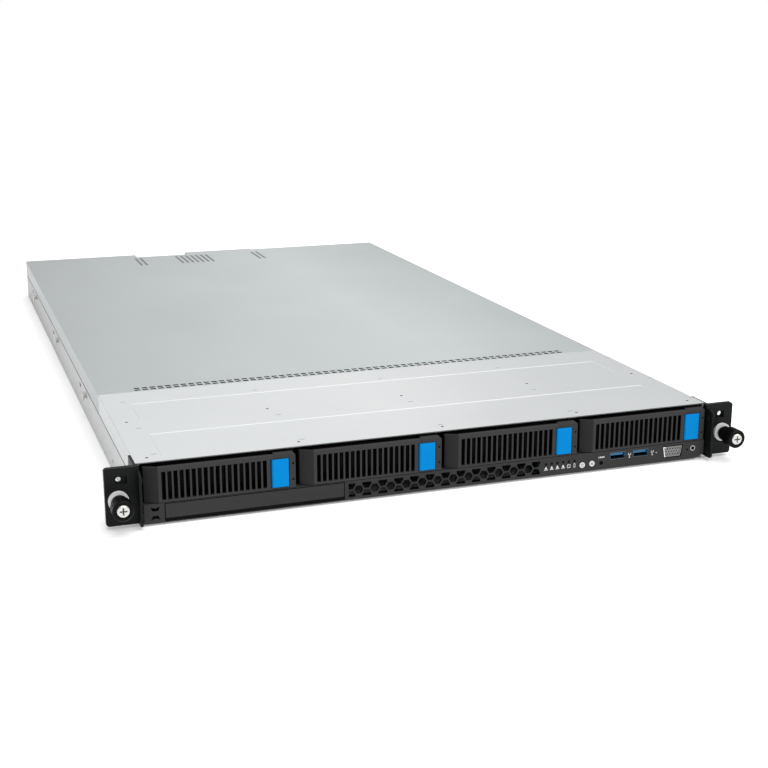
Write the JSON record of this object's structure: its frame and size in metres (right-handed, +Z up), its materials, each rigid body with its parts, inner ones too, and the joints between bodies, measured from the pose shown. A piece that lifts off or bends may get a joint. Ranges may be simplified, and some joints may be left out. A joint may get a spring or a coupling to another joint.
{
  "type": "rack server",
  "caption": "Flat 1U rack server with drive bays behind slotted levers, blue latches, a honeycomb strip, rack ears with captive thumbscrews and rear power supplies.",
  "frame": {"origin": "on the underside of the chassis floor, midway between the ears, in the plane of the ears' rear faces (the rack's mounting plane)", "axes": "+X right seen from the front, +Y towards the rear, +Z up"},
  "size_m": [0.4826, 0.8467, 0.043],
  "materials": {
    "galvanised": "satin zinc-plated sheet",
    "cover_front_zinc": "satin zinc-plated sheet",
    "cover_rear_zinc": "satin zinc-plated sheet",
    "black_metal": "satin black powder coat",
    "black_plastic": "fine-grained moulding",
    "blue_plastic": "satin blue moulding",
    "nickel": "nickel plated",
    "white_plastic": "glossy",
    "port_steel": "tin plated",
    "grey_plastic": "moulded",
    "green_board": "solder mask",
    "drive_case": "cast, black",
    "aluminium": "extruded",
    "clear_plastic": "clear sheet",
    "psu_steel": "zinc-plated sheet",
    "steel": "plain"
  },
  "bodies": {
    "chassis": {"chassis_tray": "galvanised", "rear_panel": "galvanised", "front_cover": "cover_front_zinc", "ear_left": "black_metal", "ear_right": "black_metal", "ferrules": "nickel", "front_fascia": "black_plastic", "slim_bay_blank": "black_plastic", "front_usb_ports": "port_steel", "front_vga_port": "grey_plastic", "front_boards": "green_board", "drive_cage": "galvanised", "fan_frames": "black_plastic", "motherboard": "green_board", "board_components": "black_plastic", "memory_modules": "green_board", "heat_sinks": "aluminium", "air_duct": "clear_plastic", "rear_io_ports": "port_steel", "slot_blanks": "galvanised", "rail_studs": "galvanised", "case_screws": "steel"},
    "rear_lid": {"rear_cover": "cover_rear_zinc"},
    "tray_1": {"carrier_1": "black_plastic", "drive_1": "drive_case"},
    "lever_arm_1": {"lever_1": "black_plastic"},
    "latch_button_1": {"latch_1": "blue_plastic"},
    "tray_2": {"carrier_2": "black_plastic", "drive_2": "drive_case"},
    "lever_arm_2": {"lever_2": "black_plastic"},
    "latch_button_2": {"latch_2": "blue_plastic"},
    "tray_3": {"carrier_3": "black_plastic", "drive_3": "drive_case"},
    "lever_arm_3": {"lever_3": "black_plastic"},
    "latch_button_3": {"latch_3": "blue_plastic"},
    "tray_4": {"carrier_4": "black_plastic", "drive_4": "drive_case"},
    "lever_arm_4": {"lever_4": "black_plastic"},
    "latch_button_4": {"latch_4": "blue_plastic"},
    "screw_carrier_left": {"retaining_ring_left": "steel"},
    "thumbscrew_left": {"knob_left": "black_plastic", "screw_left": "nickel"},
    "screw_carrier_right": {"retaining_ring_right": "steel"},
    "thumbscrew_right": {"knob_right": "black_plastic", "screw_right": "nickel"},
    "power_button_cap": {"power_button": "white_plastic"},
    "id_button_cap": {"id_button": "white_plastic"},
    "reset_button_cap": {"reset_button": "black_plastic"},
    "rotor_1": {"fan_rotor_1": "black_plastic"},
    "rotor_2": {"fan_rotor_2": "black_plastic"},
    "rotor_3": {"fan_rotor_3": "black_plastic"},
    "rotor_4": {"fan_rotor_4": "black_plastic"},
    "rotor_5": {"fan_rotor_5": "black_plastic"},
    "rotor_6": {"fan_rotor_6": "black_plastic"},
    "supply_1": {"psu_1": "psu_steel"},
    "supply_latch_1": {"psu_latch_1": "blue_plastic"},
    "supply_handle_1": {"psu_handle_1": "black_plastic"},
    "supply_2": {"psu_2": "psu_steel"},
    "supply_latch_2": {"psu_latch_2": "blue_plastic"},
    "supply_handle_2": {"psu_handle_2": "black_plastic"}
  },
  "joints": [
    {"name": "rear_lid_slide", "type": "slide", "parent": "chassis", "child": "rear_lid", "axis": [0, 1, 0], "range_m": [0, 0.02]},
    {"name": "tray_1_slide", "type": "slide", "parent": "chassis", "child": "tray_1", "axis": [0, -1, 0], "range_m": [0, 0.165]},
    {"name": "lever_1_hinge", "type": "hinge", "parent": "tray_1", "child": "lever_arm_1", "pos_m": [-0.21135, 0.0002, 0.0285], "axis": [0, 0, -1], "range_deg": [0, 50]},
    {"name": "latch_1_press", "type": "slide", "parent": "tray_1", "child": "latch_button_1", "axis": [0, 1, 0], "range_m": [0, 0.002], "stiffness_N_per_m": 400, "springref_m": -0.001},
    {"name": "tray_2_slide", "type": "slide", "parent": "chassis", "child": "tray_2", "axis": [0, -1, 0], "range_m": [0, 0.165]},
    {"name": "lever_2_hinge", "type": "hinge", "parent": "tray_2", "child": "lever_arm_2", "pos_m": [-0.10275, 0.0002, 0.0285], "axis": [0, 0, -1], "range_deg": [0, 50]},
    {"name": "latch_2_press", "type": "slide", "parent": "tray_2", "child": "latch_button_2", "axis": [0, 1, 0], "range_m": [0, 0.002], "stiffness_N_per_m": 400, "springref_m": -0.001},
    {"name": "tray_3_slide", "type": "slide", "parent": "chassis", "child": "tray_3", "axis": [0, -1, 0], "range_m": [0, 0.165]},
    {"name": "lever_3_hinge", "type": "hinge", "parent": "tray_3", "child": "lever_arm_3", "pos_m": [0.00585, 0.0002, 0.0285], "axis": [0, 0, -1], "range_deg": [0, 50]},
    {"name": "latch_3_press", "type": "slide", "parent": "tray_3", "child": "latch_button_3", "axis": [0, 1, 0], "range_m": [0, 0.002], "stiffness_N_per_m": 400, "springref_m": -0.001},
    {"name": "tray_4_slide", "type": "slide", "parent": "chassis", "child": "tray_4", "axis": [0, -1, 0], "range_m": [0, 0.165]},
    {"name": "lever_4_hinge", "type": "hinge", "parent": "tray_4", "child": "lever_arm_4", "pos_m": [0.11445, 0.0002, 0.0285], "axis": [0, 0, -1], "range_deg": [0, 50]},
    {"name": "latch_4_press", "type": "slide", "parent": "tray_4", "child": "latch_button_4", "axis": [0, 1, 0], "range_m": [0, 0.002], "stiffness_N_per_m": 400, "springref_m": -0.001},
    {"name": "thumbscrew_left_push", "type": "slide", "parent": "chassis", "child": "screw_carrier_left", "axis": [0, 1, 0], "range_m": [0, 0.0022], "stiffness_N_per_m": 500, "springref_m": -0.001},
    {"name": "thumbscrew_left_turn", "type": "hinge", "parent": "screw_carrier_left", "child": "thumbscrew_left", "pos_m": [-0.23255, -0.01, 0.02], "axis": [0, -1, 0], "continuous": true},
    {"name": "thumbscrew_right_push", "type": "slide", "parent": "chassis", "child": "screw_carrier_right", "axis": [0, 1, 0], "range_m": [0, 0.0022], "stiffness_N_per_m": 500, "springref_m": -0.001},
    {"name": "thumbscrew_right_turn", "type": "hinge", "parent": "screw_carrier_right", "child": "thumbscrew_right", "pos_m": [0.23255, -0.01, 0.02], "axis": [0, -1, 0], "continuous": true},
    {"name": "power_button_press", "type": "slide", "parent": "chassis", "child": "power_button_cap", "axis": [0, 1, 0], "range_m": [0, 0.0008], "stiffness_N_per_m": 300, "springref_m": -0.0005},
    {"name": "id_button_press", "type": "slide", "parent": "chassis", "child": "id_button_cap", "axis": [0, 1, 0], "range_m": [0, 0.0008], "stiffness_N_per_m": 300, "springref_m": -0.0005},
    {"name": "reset_button_press", "type": "slide", "parent": "chassis", "child": "reset_button_cap", "axis": [0, 1, 0], "range_m": [0, 0.0008], "stiffness_N_per_m": 300, "springref_m": -0.0005},
    {"name": "fan_1_spin", "type": "hinge", "parent": "chassis", "child": "rotor_1", "pos_m": [-0.175, 0.21, 0.021], "axis": [0, 1, 0], "continuous": true},
    {"name": "fan_2_spin", "type": "hinge", "parent": "chassis", "child": "rotor_2", "pos_m": [-0.105, 0.21, 0.021], "axis": [0, 1, 0], "continuous": true},
    {"name": "fan_3_spin", "type": "hinge", "parent": "chassis", "child": "rotor_3", "pos_m": [-0.035, 0.21, 0.021], "axis": [0, 1, 0], "continuous": true},
    {"name": "fan_4_spin", "type": "hinge", "parent": "chassis", "child": "rotor_4", "pos_m": [0.035, 0.21, 0.021], "axis": [0, 1, 0], "continuous": true},
    {"name": "fan_5_spin", "type": "hinge", "parent": "chassis", "child": "rotor_5", "pos_m": [0.105, 0.21, 0.021], "axis": [0, 1, 0], "continuous": true},
    {"name": "fan_6_spin", "type": "hinge", "parent": "chassis", "child": "rotor_6", "pos_m": [0.175, 0.21, 0.021], "axis": [0, 1, 0], "continuous": true},
    {"name": "supply_1_slide", "type": "slide", "parent": "chassis", "child": "supply_1", "axis": [0, 1, 0], "range_m": [0, 0.19]},
    {"name": "supply_1_latch_squeeze", "type": "slide", "parent": "supply_1", "child": "supply_latch_1", "axis": [-1, 0, 0], "range_m": [0, 0.0025], "stiffness_N_per_m": 500, "springref_m": -0.001},
    {"name": "supply_1_handle_fold", "type": "hinge", "parent": "supply_1", "child": "supply_handle_1", "pos_m": [-0.171, 0.8145, 0.0073], "axis": [-1, 0, 0], "range_deg": [0, 90]},
    {"name": "supply_2_slide", "type": "slide", "parent": "chassis", "child": "supply_2", "axis": [0, 1, 0], "range_m": [0, 0.19]},
    {"name": "supply_2_latch_squeeze", "type": "slide", "parent": "supply_2", "child": "supply_latch_2", "axis": [-1, 0, 0], "range_m": [0, 0.0025], "stiffness_N_per_m": 500, "springref_m": -0.001},
    {"name": "supply_2_handle_fold", "type": "hinge", "parent": "supply_2", "child": "supply_handle_2", "pos_m": [0.189, 0.809, 0.0073], "axis": [-1, 0, 0], "range_deg": [0, 90]}
  ]
}
